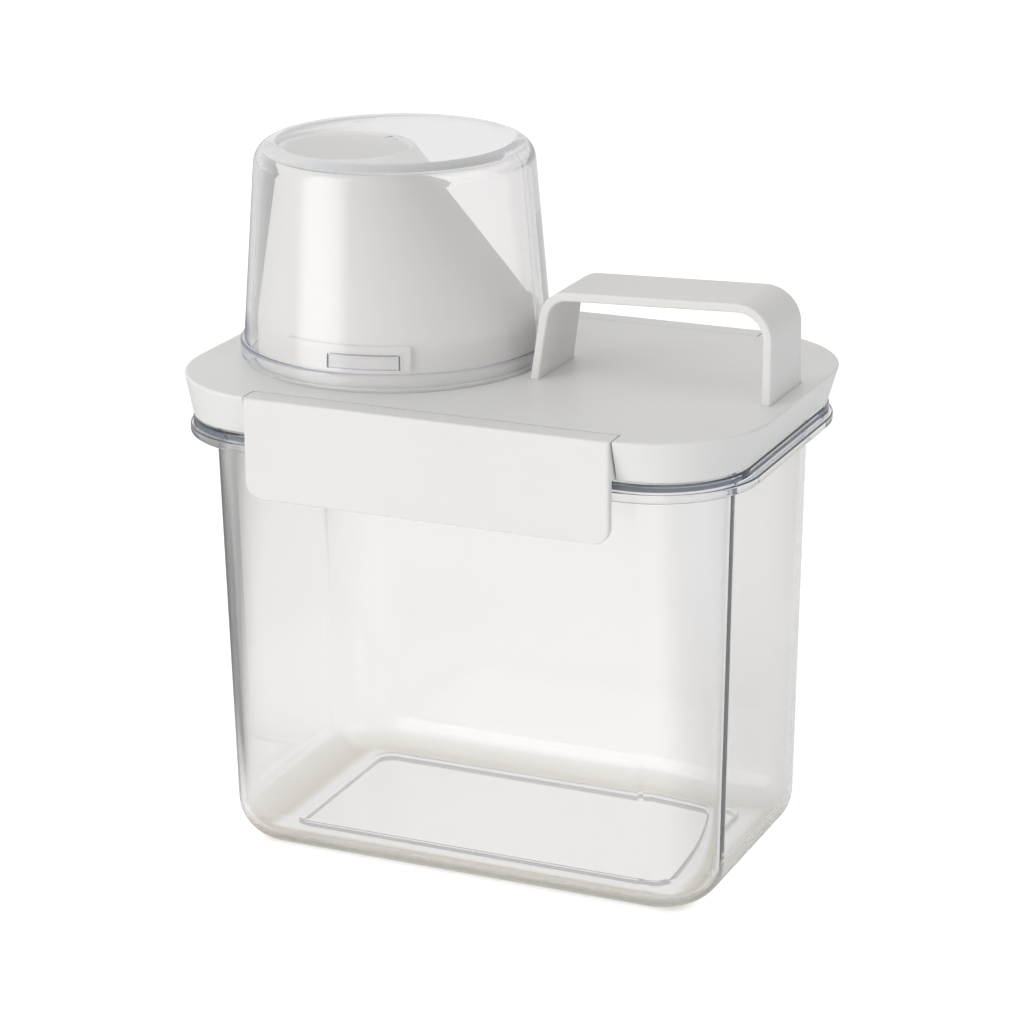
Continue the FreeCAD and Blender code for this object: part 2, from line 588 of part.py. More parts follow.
# bayonet ribs with their stop legs, three round the collar
s = sketch(lid, "rib_sk", "XZ", x=S.sp_x, turn=S.rib_az)
poly(s, [(S.collar_rad - 0.6, S.rib_z), (S.rib_rad, S.rib_z),
         (S.rib_rad, S.rib_z + S.rib_high), (S.collar_rad - 0.6, S.rib_z + S.rib_high)])
rib = feature(lid, "Revolution", "bayonet_rib", s, Angle=S.rib_span, ReferenceAxis=(s, ["V_Axis"]))
v = settle(lid, 1, v)
s2 = sketch(lid, "stop_sk", "XZ", x=S.sp_x, turn=S.stop_az)
poly(s2, [(S.collar_rad - 0.6, S.stop_z), (S.rib_rad, S.stop_z),
          (S.rib_rad, S.rib_z + S.rib_high), (S.collar_rad - 0.6, S.rib_z + S.rib_high)])
stp = feature(lid, "Revolution", "bayonet_stop", s2, Angle=S.stop_span, ReferenceAxis=(s2, ["V_Axis"]))
v = settle(lid, 1, v)
pp = lid.newObject("PartDesign::PolarPattern", "bayonet_three")
pp.Originals = [rib, stp]
pp.Axis = (s, ["V_Axis"])
pp.Angle = 360.0
pp.Occurrences = 3
lid.Tip = pp
v = settle(lid, 1, v)
# slots for the handle's legs
s = sketch(lid, "slot_sk", "XY", z=S.lid_top_z)
wide = S.hd_wide / 2 + S.hd_slot
poly(s, [(S.hd_left - S.hd_slot, -wide), (S.hd_left + S.hd_thick + S.hd_slot, -wide),
         (S.hd_left + S.hd_thick + S.hd_slot, wide), (S.hd_left - S.hd_slot, wide)])
poly(s, [(S.hd_right - S.hd_thick - S.hd_slot, -wide), (S.hd_right + S.hd_slot, -wide),
         (S.hd_right + S.hd_slot, wide), (S.hd_right - S.hd_thick - S.hd_slot, wide)])
feature(lid, "Pocket", "handle_slots", s, Length=S.lid_plate + 0.5)
v = settle(lid, -1, v)
done(lid)

# ------------------------------------------------------------------ lid gasket
gk = body("lid_gasket")
s = sketch(gk, "gasket_sk", "XY", z=S.gask_z)
rrect(s, S.plug_len / 2 + S.gask_body, S.plug_wid / 2 + S.gask_body, S.plug_corner + S.gask_body)
rrect(s, S.plug_len / 2, S.plug_wid / 2, S.plug_corner)
feature(gk, "Pad", "gasket_band", s, Length=S.gask_high)
v = settle(gk, 1, 0)
for nm, dz in (("lip_low", Q.of(0.35)), ("lip_high", S.gask_high - 0.95)):
    s = sketch(gk, nm + "_sk", "XY", z=S.gask_z + dz)
    reach = S.gask_body + S.gask_lip
    rrect(s, S.plug_len / 2 + reach, S.plug_wid / 2 + reach, S.plug_corner + reach)
    rrect(s, S.plug_len / 2 + 0.2, S.plug_wid / 2 + 0.2, S.plug_corner + 0.2)
    feature(gk, "Pad", "gasket_" + nm, s, Length=0.6)
    v = settle(gk, 1, v)
done(gk)

# ------------------------------------------------------------------ handle
hd = body("handle")
s = sketch(hd, "strap_out", "XZ")
lean = S.hd_lean
poly(s, [(S.hd_left, S.hd_foot_z), (S.hd_right, S.hd_foot_z), (S.hd_right, S.hd_right_z),
         (S.hd_left + lean, S.hd_left_z), (S.hd_left, S.lid_top_z + 0.3)])
strap = feature(hd, "Pad", "strap_block", s, Length=S.hd_wide, Midplane=True)
v = settle(hd, 1, 0)


def corner_edge(shape, x, z, tol=0.4):
    return edges_where(shape, lambda e: e.BoundBox.YLength > 10 and e.BoundBox.XLength < 0.01 and
                       e.BoundBox.ZLength < 0.01 and abs(e.CenterOfMass.x - x) < tol and
                       abs(e.CenterOfMass.z - z) < tol)


s = sketch(hd, "strap_in", "XZ")
t = S.hd_thick
poly(s, [(S.hd_left + t, S.hd_foot_z - 1.0), (S.hd_right - t, S.hd_foot_z - 1.0),
         (S.hd_right - t, S.hd_right_z - t), (S.hd_left + lean + t - 0.2, S.hd_left_z - t),
         (S.hd_left + t, S.lid_top_z + 0.3)])
win = feature(hd, "Pocket", "strap_window", s, Length=S.hd_wide + 2.0, Midplane=True)
v = settle(hd, -1, v)
f1 = fillet(hd, "bend_left_in", win,
            corner_edge(win.Shape, VAL["hd_left"] + VAL["hd_lean"] + VAL["hd_thick"] - 0.2,
                        VAL["hd_left_z"] - VAL["hd_thick"]), S.hd_left_round - S.hd_thick)
f2 = fillet(hd, "bend_right_in", f1,
            corner_edge(f1.Shape, VAL["hd_right"] - VAL["hd_thick"], VAL["hd_right_z"] - VAL["hd_thick"]),
            S.hd_right_round - S.hd_thick)
f3 = fillet(hd, "bend_left_out", f2,
            corner_edge(f2.Shape, VAL["hd_left"] + VAL["hd_lean"], VAL["hd_left_z"]), S.hd_left_round)
f4 = fillet(hd, "bend_right_out", f3,
            corner_edge(f3.Shape, VAL["hd_right"], VAL["hd_right_z"]), S.hd_right_round)
v = f4.Shape.Volume
# both sides draw in towards the top
s = sketch(hd, "slim_sk", "YZ")
hw = S.hd_wide / 2
for g in (-1, 1):
    poly(s, [(g * (hw + 0.001), S.hd_foot_z - 0.03), (g * (hw + 3.0), S.hd_foot_z - 0.03),
             (g * (hw + 3.0), S.hd_right_z + 2.0), (g * (hw - S.hd_slim), S.hd_right_z + 2.0)][::g])
slim = feature(hd, "Pocket", "strap_slim", s, Type="ThroughAll", Midplane=True)
v = settle(hd, -1, v)
edge_r = fillet(hd, "strap_edges", slim,
                edges_where(slim.Shape, lambda e: abs(abs(e.CenterOfMass.y) - VAL["hd_wide"] / 2) < 1.3 and
                            (e.BoundBox.ZLength > 4 or e.BoundBox.XLength > 4)), 0.55)
v = edge_r.Shape.Volume
# snap barbs under the lid's plate
lower = S.lid_top_z - S.lid_plate - 0.15
s = sketch(hd, "barb_sk", "XZ")
poly(s, [(S.hd_left + 0.3, S.hd_foot_z), (S.hd_left + 0.3, lower), (S.hd_left - S.hd_barb, lower),
         (S.hd_left - S.hd_barb, lower - 0.8), (S.hd_left, S.hd_foot_z)])
poly(s, [(S.hd_right - 0.3, S.hd_foot_z), (S.hd_right, S.hd_foot_z), (S.hd_right + S.hd_barb, lower - 0.8),
         (S.hd_right + S.hd_barb, lower), (S.hd_right - 0.3, lower)])
feature(hd, "Pad", "snap_barbs", s, Length=S.hd_wide - 6.0, Midplane=True)
v = settle(hd, 1, v)
done(hd)


# ------------------------------------------------------------------ latch flaps
def flap(label, g):
    """A flap with its hinge barrel, pins, hook rib and end cheeks; g is -1 in front, 1 at the back."""
    b = body(label)
    s = sketch(b, "barrel_sk", "YZ")
    circle(s, g * S.la_axis_y, S.la_axis_z, S.la_barrel)
    feature(b, "Pad", "barrel", s, Length=S.la_len, Midplane=True)
    v = settle(b, 1, 0)
    s = sketch(b, "flat_sk", "YZ")
    poly(s, [(g * (S.la_axis_y - 6.0), S.lid_top_z), (g * (S.la_axis_y + 6.0), S.lid_top_z),
             (g * (S.la_axis_y + 6.0), S.lid_top_z + 4.0), (g * (S.la_axis_y - 6.0), S.lid_top_z + 4.0)][::g])
    feature(b, "Pocket", "barrel_flat", s, Length=S.la_len + 2.0, Midplane=True)
    v = settle(b, -1, v)
    inner_face = S.la_face - S.la_thick
    s = sketch(b, "plate_sk", "YZ")
    poly(s, [(g * inner_face, S.la_foot_z), (g * S.la_face, S.la_foot_z), (g * S.la_face, S.lid_top_z),
             (g * S.la_axis_y, S.lid_top_z), (g * S.la_axis_y, S.la_axis_z),
             (g * inner_face, S.la_axis_z - 3.2)][::g])
    pl = feature(b, "Pad", "flap_plate", s, Length=S.la_len, Midplane=True)
    v = settle(b, 1, v)
    fr = fillet(b, "lower_corners", pl,
                edges_where(pl.Shape, lambda e: e.BoundBox.YLength > 1.0 and e.BoundBox.XLength < 0.01 and
                            e.BoundBox.ZLength < 0.01 and abs(e.CenterOfMass.z - VAL["la_foot_z"]) < 0.01),
                S.la_corner)
    rim = edges_where(fr.Shape, lambda e: abs(e.CenterOfMass.y - g * VAL["la_face"]) < 0.01)
    fr = fillet(b, "face_round", fr, rim, S.la_edge_round)
    v = fr.Shape.Volume
    s = sketch(b, "hook_sk", "YZ")
    poly(s, [(g * (inner_face + 0.5), S.la_hook_low), (g * (inner_face + 0.5), S.la_hook_z),
             (g * S.la_hook_in, S.la_hook_z), (g * S.la_hook_in, S.la_hook_z - 1.0),
             (g * inner_face, S.la_hook_low)][::g])
    feature(b, "Pad", "hook_rib", s, Length=S.la_len - 8.0, Midplane=True)
    v = settle(b, 1, v)
    # end cheeks that close the wedge between the flap and the sloping skirt
    cheek_z = S.lid_foot_z + 0.2
    for side in (-1, 1):
        x0 = side * (S.la_len / 2 - S.la_cheek)
        s = sketch(b, "cheek_sk_%s" % ("left" if side < 0 else "right"), "YZ", z=x0)
        poly(s, [(g * (inner_face + 0.5), cheek_z), (g * (inner_face + 0.5), S.la_axis_z - 1.0),
                 (g * (S.la_axis_y - 0.5), S.la_axis_z - 3.0), (g * (S.rec_back + 0.5), S.la_axis_z - 4.2),
                 (g * (S.rec_back + 0.5), cheek_z)][::g])
        feature(b, "Pad", "cheek_%s" % ("left" if side < 0 else "right"), s, Length=S.la_cheek,
                Reversed=(side < 0))
        v = settle(b, 1, v)
    s = sketch(b, "pin_sk", "YZ")
    circle(s, g * S.la_axis_y, S.la_axis_z, S.la_pin)
    feature(b, "Pad", "pins", s, Length=S.la_len + 2 * S.la_pin_reach, Midplane=True)
    v = settle(b, 1, v)
    done(b)


flap("front_latch", -1)
flap("rear_latch", 1)

# ------------------------------------------------------------------ cup seal
cs = body("cup_seal")
s = sketch(cs, "seal_sk", "XY", z=S.lid_top_z + 0.05)
circle(s, S.sp_x, 0.0, S.seal_out)
circle(s, S.sp_x, 0.0, S.seal_in)
feature(cs, "Pad", "seal_ring", s, Length=S.seal_high)
settle(cs, 1, 0)
sr = fillet(cs, "seal_round", cs.Tip,
            edges_where(cs.Tip.Shape, lambda e: in_plane_z(e, VAL["lid_top_z"] + 0.05 + VAL["seal_high"])), 0.3)
done(cs)

# ------------------------------------------------------------------ measuring cup
cup = body("measuring_cup")
s = sketch(cup, "cup_section", "XZ", x=S.sp_x)
slope = (S.cup_rad - S.cup_top_rad) / (S.cup_top_z - S.cup_ring_z)
in_top = S.cup_top_rad + slope * S.cup_floor - S.cup_wall
in_foot = S.cup_rad + slope * (S.cup_ring_z - S.cup_foot_z) - S.cup_wall
poly(s, [(0.0, S.cup_top_z - S.cup_floor), (in_top, S.cup_top_z - S.cup_floor), (in_foot, S.cup_foot_z),
         (S.cup_ring_rad, S.cup_foot_z), (S.cup_ring_rad, S.cup_ring_z), (S.cup_rad, S.cup_ring_z),
         (S.cup_top_rad, S.cup_top_z), (0.0, S.cup_top_z)])
rev = feature(cup, "Revolution", "cup_shell", s, Angle=360.0, ReferenceAxis=(s, ["V_Axis"]))
v = settle(cup, 1, 0)


def ring_edge(shape, rad, z, tol=0.05):
    return edges_where(shape, lambda e: in_plane_z(e, z, tol) and abs(e.BoundBox.YLength / 2 - rad) < tol)


f1 = fillet(cup, "cup_end_round", rev, ring_edge(rev.Shape, VAL["cup_top_rad"], VAL["cup_top_z"]), S.cup_round)
f2 = fillet(cup, "cup_end_inner_round", f1, ring_edge(f1.Shape, in_top.v, VAL["cup_top_z"] - VAL["cup_floor"]),
            S.cup_in_round)
f3 = fillet(cup, "cup_ring_round", f2,
            ring_edge(f2.Shape, VAL["cup_ring_rad"], VAL["cup_ring_z"]) +
            ring_edge(f2.Shape, VAL["cup_ring_rad"], VAL["cup_foot_z"]), 0.8)
v = f3.Shape.Volume
s = sketch(cup, "gate_sk", "XY", z=S.cup_top_z)
circle(s, S.sp_x, 0.0, S.gate_rad)
circle(s, S.sp_x, 0.0, S.gate_rad * 0.3)
feature(cup, "Pocket", "gate_dimple", s, Length=S.gate_deep)
v = settle(cup, -1, v)
s = sketch(cup, "lug_sk", "XZ", x=S.sp_x, turn=S.lug_az)
poly(s, [(S.lug_rad, S.lug_z), (in_foot + 0.1, S.lug_z), (in_foot - 0.1, S.lug_z + S.lug_high),
         (S.lug_rad, S.lug_z + S.lug_high)])
lug = feature(cup, "Revolution", "bayonet_lug", s, Angle=S.lug_span, ReferenceAxis=(s, ["V_Axis"]))
v = settle(cup, 1, v)
pp = cup.newObject("PartDesign::PolarPattern", "lugs_three")
pp.Originals = [lug]
pp.Axis = (s, ["V_Axis"])
pp.Angle = 360.0
pp.Occurrences = 3
cup.Tip = pp
v = settle(cup, 1, v)
ends = edges_where(pp.Shape, lambda e: abs(e.BoundBox.ZLength - VAL["lug_high"]) < 0.05 and
                   e.BoundBox.XLength < 0.01 and e.BoundBox.YLength < 0.01)
fillet(cup, "lug_end_round", pp, ends, S.lug_round)
v = settle(cup, -1, v)
done(cup)

# ------------------------------------------------------------------ checks and files
doc.recompute()
bad = [o.Name for o in doc.Objects if "Invalid" in o.State or "Error" in o.State]
if bad:
    raise RuntimeError("failed objects: %s" % ", ".join(bad))
os.makedirs("parts", exist_ok=True)
for b in SUBPARTS:
    shape = b.Shape
    if shape.isNull() or not shape.isValid():
        raise RuntimeError("bad shape: " + b.Label)
for b in SUBPARTS:
    b.Shape.exportStep("parts/%s.step" % b.Label)
bb = None
for b in SUBPARTS:
    bb = b.Shape.BoundBox if bb is None else bb.united(b.Shape.BoundBox)
print("box x %.2f..%.2f  y %.2f..%.2f  z %.2f..%.2f" % (bb.XMin, bb.XMax, bb.YMin, bb.YMax, bb.ZMin, bb.ZMax))
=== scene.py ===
import bpy
import math
from mathutils import Matrix, Vector


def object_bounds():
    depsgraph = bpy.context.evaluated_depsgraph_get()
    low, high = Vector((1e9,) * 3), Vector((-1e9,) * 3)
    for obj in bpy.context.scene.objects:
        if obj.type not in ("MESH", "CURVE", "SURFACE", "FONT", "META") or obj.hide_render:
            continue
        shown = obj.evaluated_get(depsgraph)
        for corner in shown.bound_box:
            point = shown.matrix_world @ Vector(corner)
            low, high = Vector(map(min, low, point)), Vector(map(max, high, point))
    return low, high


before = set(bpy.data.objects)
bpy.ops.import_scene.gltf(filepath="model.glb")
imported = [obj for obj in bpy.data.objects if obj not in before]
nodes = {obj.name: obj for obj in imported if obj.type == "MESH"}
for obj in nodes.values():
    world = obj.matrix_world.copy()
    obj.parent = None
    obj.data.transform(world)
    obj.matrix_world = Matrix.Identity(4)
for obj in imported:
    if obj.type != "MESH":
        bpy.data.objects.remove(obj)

CAD_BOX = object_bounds()
scene = bpy.context.scene
scene.view_settings.view_transform = "Standard"
scene.view_settings.look = "None"
scene.view_settings.exposure = 0.0
scene.view_settings.gamma = 1.0


# ---------------------------------------------------------------- node helpers
class Tree:
    """A small wrapper that makes and links shader nodes."""
    def __init__(self, owner):
        owner.use_nodes = True
        self.t = owner.node_tree
        self.t.nodes.clear()

    def n(self, kind, **props):
        node = self.t.nodes.new("ShaderNode" + kind)
        for k, v in props.items():
            setattr(node, k, v)
        return node

    def link(self, a, b):
        self.t.links.new(a, b)

    def math(self, op, a, b=None, clamp=False):
        m = self.n("Math", operation=op, use_clamp=clamp)
        for i, v in enumerate((a, b)):
            if v is None:
                continue
            if isinstance(v, (int, float)):
                m.inputs[i].default_value = v
            else:
                self.link(v, m.inputs[i])
        return m.outputs[0]

    def mix(self, fac, a, b):
        m = self.n("Mix", data_type="RGBA")
        for sock, v in ((m.inputs["Factor"], fac), (m.inputs["A"], a), (m.inputs["B"], b)):
            if isinstance(v, (int, float)):
                sock.default_value = v
            elif isinstance(v, tuple):
                sock.default_value = v
            else:
                self.link(v, sock)
        return [o for o in m.outputs if o.type == "RGBA"][0]

    def noise(self, vec, scale, detail=2.0, rough=0.5):
        x = self.n("TexNoise")
        x.inputs["Scale"].default_value = scale
        x.inputs["Detail"].default_value = detail
        x.inputs["Roughness"].default_value = rough
        self.link(vec, x.inputs["Vector"])
        return x.outputs["Fac"]

    def ramp(self, fac, stops):
        r = self.n("ValToRGB")
        els = r.color_ramp.elements
        while len(els) < len(stops):
            els.new(0.5)
        for e, (p, c) in zip(els, stops):
            e.position = p
            e.color = c if isinstance(c, tuple) else (c, c, c, 1.0)
        self.link(fac, r.inputs["Fac"])
        return r.outputs["Color"]

    def map_range(self, v, a, b, c, d):
        m = self.n("MapRange")
        for i, x in enumerate((a, b, c, d), start=1):
            m.inputs[i].default_value = x
        self.link(v, m.inputs[0])
        return m.outputs[0]


def clear_plastic(name, tint, rim, rim_at, absorb, density, rough, shadow, ripple, tir_shade_colour, tir_shade_z, haze, ghost, heel_shade=None):
    """Clear moulded plastic: it refracts, and lamps reach through it. Where the wall is
    seen side-on its colour turns to the rim colour, partly for the longer way light takes
    through the wall and partly as painted shade. Light totally reflected inside the wall
    (above tir_shade_z) is painted a dark bluish colour, a painted reflection of dark surroundings;
    in the ghost band (colour, z from, z to, share) it is painted instead as a see-through
    grey, a painted shade line. Round the base (below heel), seen side-on, the wall is painted
    darker and warmer: painted shade for the table's contact shadow. A little haze scatters light in the wall."""
    mat = bpy.data.materials.new(name)
    t = Tree(mat)
    tc = t.n("TexCoord")
    obj = tc.outputs["Object"]
    b = t.n("BsdfPrincipled")
    lw = t.n("LayerWeight")
    lw.inputs["Blend"].default_value = 0.5
    facing = t.map_range(lw.outputs["Facing"], rim_at[0], rim_at[1], 0.0, 1.0)
    pos = t.n("SeparateXYZ")
    t.link(obj, pos.inputs[0])
    # seen side-on the colour turns to the rim colour: partly the longer path through the wall, partly painted shade
    col = t.mix(facing, tint, rim)
    # painted shade: round the base, seen side-on, the colour is multiplied darker and warmer, standing for the
    # table's contact shadow
    if heel_shade:
        low = t.map_range(pos.outputs["Z"], heel_shade[0], heel_shade[1], 1.0, 0.0)
        ex = t.math("SUBTRACT", t.math("ABSOLUTE", pos.outputs["X"]), 0.0565)
        ey = t.math("SUBTRACT", t.math("ABSOLUTE", pos.outputs["Y"]), 0.0285)
        low = t.math("MULTIPLY", low, t.map_range(t.math("MAXIMUM", ex, ey), 0.002, 0.005, 0.0, 1.0))
        low = t.math("MULTIPLY", low, t.map_range(lw.outputs["Facing"], 0.30, 0.62, 0.0, 1.0))
        warm = t.n("Mix", data_type="RGBA", blend_type="MULTIPLY")
        t.link(low, warm.inputs["Factor"])
        t.link(col, warm.inputs["A"])
        warm.inputs["B"].default_value = heel_shade[2]
        col = [o for o in warm.outputs if o.type == "RGBA"][0]
    t.link(col, b.inputs["Base Color"])
    b.inputs["Transmission Weight"].default_value = 1.0
    b.inputs["IOR"].default_value = 1.5
    # fine handling haze, a little uneven over the surface
    cloud = t.noise(obj, 34.0, 3.0, 0.55)
    r = t.map_range(cloud, 0.35, 0.75, rough[0], rough[1])
    t.link(r, b.inputs["Roughness"])
    # slow ripple that injection moulding leaves in a flat wall
    wave = t.noise(obj, 26.0, 1.0, 0.4)
    bump = t.n("Bump")
    bump.inputs["Strength"].default_value = ripple
    bump.inputs["Distance"].default_value = 0.002
    t.link(wave, bump.inputs["Height"])
    t.link(bump.outputs[0], b.inputs["Normal"])
    geo = t.n("NewGeometry")
    fres = t.n("Fresnel")
    fres.inputs["IOR"].default_value = 1.5
    inside = t.math("MULTIPLY", fres.outputs[0], geo.outputs["Backfacing"])
    inside = t.map_range(inside, 0.90, 1.0, 0.0, 1.0)
    tir_grey_share = t.math("MULTIPLY", inside, t.map_range(pos.outputs["Z"], ghost[1], ghost[2], ghost[3], 0.0))
    inside = t.math("MULTIPLY", inside, t.map_range(pos.outputs["Z"], tir_shade_z[0], tir_shade_z[1], 0.0, 1.0))
    # painted reflection: light totally reflected inside the wall takes this dark bluish colour, standing for dark
    # surroundings
    lip = t.n("BsdfAnisotropic")
    lip.inputs["Color"].default_value = tir_shade_colour
    t.link(r, lip.inputs["Roughness"])
    t.link(bump.outputs[0], lip.inputs["Normal"])
    wall = t.n("MixShader")
    t.link(inside, wall.inputs[0])
    t.link(b.outputs[0], wall.inputs[1])
    t.link(lip.outputs[0], wall.inputs[2])
    # painted shade: in the ghost band the total reflection is swapped for a see-through grey, which draws a grey
    # line
    through = t.n("BsdfTransparent")
    through.inputs["Color"].default_value = ghost[0]
    soft = t.n("MixShader")
    t.link(tir_grey_share, soft.inputs[0])
    t.link(wall.outputs[0], soft.inputs[1])
    t.link(through.outputs[0], soft.inputs[2])
    milk = t.n("BsdfDiffuse")
    milk.inputs["Color"].default_value = (0.93, 0.94, 0.95, 1)
    body = t.n("MixShader")
    body.inputs[0].default_value = haze
    t.link(soft.outputs[0], body.inputs[1])
    t.link(milk.outputs[0], body.inputs[2])
    clear = t.n("BsdfTransparent")
    clear.inputs["Color"].default_value = shadow
    lp = t.n("LightPath")
    f = t.math("MAXIMUM", lp.outputs["Is Shadow Ray"], lp.outputs["Is Diffuse Ray"])
    mix = t.n("MixShader")
    t.link(f, mix.inputs[0])
    t.link(body.outputs[0], mix.inputs[1])
    t.link(clear.outputs[0], mix.inputs[2])
    out = t.n("OutputMaterial")
    t.link(mix.outputs[0], out.inputs["Surface"])
    vol = t.n("VolumeAbsorption")
    vol.inputs["Color"].default_value = absorb
    vol.inputs["Density"].default_value = density
    t.link(vol.outputs[0], out.inputs["Volume"])
    return mat


def white_plastic(name, col_a, col_b, rough, grain, sheen=0.0):
    """Opaque white polypropylene with a fine satin mould texture."""
    mat = bpy.data.materials.new(name)
    t = Tree(mat)
    tc = t.n("TexCoord")
    obj = tc.outputs["Object"]
    b = t.n("BsdfPrincipled")
    cloud = t.noise(obj, 18.0, 4.0, 0.55)
    t.link(t.mix(t.map_range(cloud, 0.3, 0.7, 0.0, 1.0), col_a, col_b), b.inputs["Base Color"])
    rv = t.noise(obj, 60.0, 3.0, 0.6)
    t.link(t.map_range(rv, 0.3, 0.7, rough[0], rough[1]), b.inputs["Roughness"])
    b.inputs["IOR"].default_value = 1.49
    b.inputs["Subsurface Weight"].default_value = 0.15
    b.inputs["Subsurface Radius"].default_value = (0.0022, 0.0020, 0.0018)
    b.inputs["Subsurface Scale"].default_value = 1.0
    fine = t.noise(obj, 1100.0, 2.0, 0.5)
    slow = t.noise(obj, 22.0, 1.0, 0.4)
    bump = t.n("Bump")
    bump.inputs["Strength"].default_value = grain
    bump.inputs["Distance"].default_value = 0.00006
    t.link(fine, bump.inputs["Height"])
    bump2 = t.n("Bump")
    bump2.inputs["Strength"].default_value = 0.02
    bump2.inputs["Distance"].default_value = 0.001
    t.link(slow, bump2.inputs["Height"])
    t.link(bump2.outputs[0], bump.inputs["Normal"])
    t.link(bump.outputs[0], b.inputs["Normal"])
    out = t.n("OutputMaterial")
    t.link(b.outputs[0], out.inputs["Surface"])
    return mat


def silicone(name, col_a, col_b):
    mat = bpy.data.materials.new(name)
    t = Tree(mat)
    tc = t.n("TexCoord")
    obj = tc.outputs["Object"]
    b = t.n("BsdfPrincipled")
    cloud = t.noise(obj, 40.0, 3.0, 0.5)
    t.link(t.mix(cloud, col_a, col_b), b.inputs["Base Color"])
    b.inputs["Transmission Weight"].default_value = 0.35
    b.inputs["IOR"].default_value = 1.41
    rv = t.noise(obj, 90.0, 2.0, 0.5)
    t.link(t.map_range(rv, 0.3, 0.7, 0.38, 0.5), b.inputs["Roughness"])
    fine = t.noise(obj, 1800.0, 2.0, 0.6)
    bump = t.n("Bump")
    bump.inputs["Strength"].default_value = 0.2
    bump.inputs["Distance"].default_value = 0.00008
    t.link(fine, bump.inputs["Height"])
    t.link(bump.outputs[0], b.inputs["Normal"])
    out = t.n("OutputMaterial")
    t.link(b.outputs[0], out.inputs["Surface"])
    return mat


M = {
    # painted shade and reflection: the dark bluish colours for totally reflected light, the see-through greys and
    # the body's darker warm foot
    "container": clear_plastic("clear_body", (0.96, 0.95, 0.945, 1), (0.80, 0.80, 0.785, 1), (0.78, 0.99),
                               (0.72, 0.82, 0.93, 1), 5.0, (0.015, 0.05), (0.95, 0.95, 0.95, 1), 0.015,
                               (0.56, 0.62, 0.72, 1), (0.1135, 0.1160), 0.03,
                               ((0.50, 0.50, 0.51, 1), 0.0045, 0.0075, 0.75),
                               (0.0040, 0.0120, (0.58, 0.54, 0.46, 1))),
    "measuring_cup": clear_plastic("clear_cup", (0.985, 0.975, 0.975, 1), (0.90, 0.90, 0.91, 1), (0.70, 0.99),
                                   (0.72, 0.80, 0.93, 1), 5.0, (0.01, 0.04), (0.955, 0.955, 0.957, 1), 0.004,
                                   (0.62, 0.68, 0.80, 1), (0.0, 0.001), 0.05,
                                   ((0.86, 0.875, 0.90, 1), 0.150, 0.145, 0.95)),
    "lid": white_plastic("white_lid", (0.80, 0.797, 0.78, 1), (0.83, 0.827, 0.81, 1), (0.36, 0.42), 0.10),
    # the handle's white is set a little darker than the lid's: painted shade for its darker top
    "handle": white_plastic("white_handle_shaded", (0.77, 0.763, 0.745, 1), (0.80, 0.793, 0.775, 1), (0.44, 0.52), 0.12),
    "latch": white_plastic("white_latch", (0.79, 0.78, 0.775, 1), (0.82, 0.815, 0.81, 1), (0.38, 0.46), 0.11),
    "seal": silicone("soft_seal", (0.80, 0.82, 0.84, 1), (0.86, 0.87, 0.88, 1)),
}
USE = {
    "container": "container", "measuring_cup": "measuring_cup", "lid": "lid", "handle": "handle",
    "front_latch": "latch", "rear_latch": "latch", "lid_gasket": "seal", "cup_seal": "seal",
}
for node, key in USE.items():
    ob = nodes[node]
    if not ob.material_slots:
        ob.data.materials.append(M[key])
    for s in ob.material_slots:
        s.material = M[key]

# ---------------------------------------------------------------- floor
# near and far strength of the floor as the object sees it; to the camera it is plain white
POOL = (0.82, 0.50)
mesh = bpy.data.meshes.new("floor")
R = 8.0
mesh.from_pydata([(-R, -R, 0), (R, -R, 0), (R, R, 0), (-R, R, 0)], [], [(0, 1, 2, 3)])
floor = bpy.data.objects.new("floor", mesh)
scene.collection.objects.link(floor)
floor.location.z = CAD_BOX[0].z - 0.0002
mat = bpy.data.materials.new("floor_paper")
t = Tree(mat)
d = t.n("BsdfDiffuse")
d.inputs["Color"].default_value = (0.25, 0.25, 0.25, 1)
e = t.n("Emission")
e.inputs["Color"].default_value = (1.0, 1.0, 1.0, 1)
tc = t.n("TexCoord")
far = t.n("VectorMath", operation="LENGTH")
t.link(tc.outputs["Object"], far.inputs[0])
pool = t.map_range(far.outputs["Value"], 0.8, 2.6, POOL[0], POOL[1])
sep = t.n("SeparateXYZ")
t.link(tc.outputs["Object"], sep.inputs[0])


def profile(v, stops, lo, hi):
    """A smooth curve through (position, value) stops, as a colour ramp over lo..hi."""
    x = t.map_range(v, lo, hi, 0.0, 1.0)
    c = t.ramp(x, [((p - lo) / (hi - lo), k) for p, k in stops])
    return c


# The table is brightest in a band that runs away behind the object and darker at its left,
# as under a soft box with black cards; the coordinate runs across that band.
across = t.math("ADD", t.math("MULTIPLY", sep.outputs["X"], -0.912), t.math("MULTIPLY", sep.outputs["Y"], -0.410))
side = profile(across, [(-0.60, 0.74), (-0.16, 0.72), (-0.105, 0.78), (-0.085, 0.83), (-0.055, 0.85), (-0.040, 1.0),
                        (0.050, 1.0), (0.088, 0.93), (0.108, 0.58), (0.130, 0.13), (0.255, 0.13), (0.400, 0.62),
                        (0.60, 0.66)], -0.60, 0.60)
# the dark card reaches only behind the object: in front of it the table's left is light again
depth = t.math("ADD", t.math("MULTIPLY", sep.outputs["X"], -0.410), t.math("MULTIPLY", sep.outputs["Y"], 0.912))
fore = t.math("MULTIPLY", t.map_range(depth, -0.085, -0.015, 1.0, 0.0), t.map_range(across, 0.05, 0.09, 0.0, 1.0))
side = t.math("ADD", side, t.math("MULTIPLY", fore, t.math("SUBTRACT", 0.80, side)))
pool = t.math("MULTIPLY", pool, side)
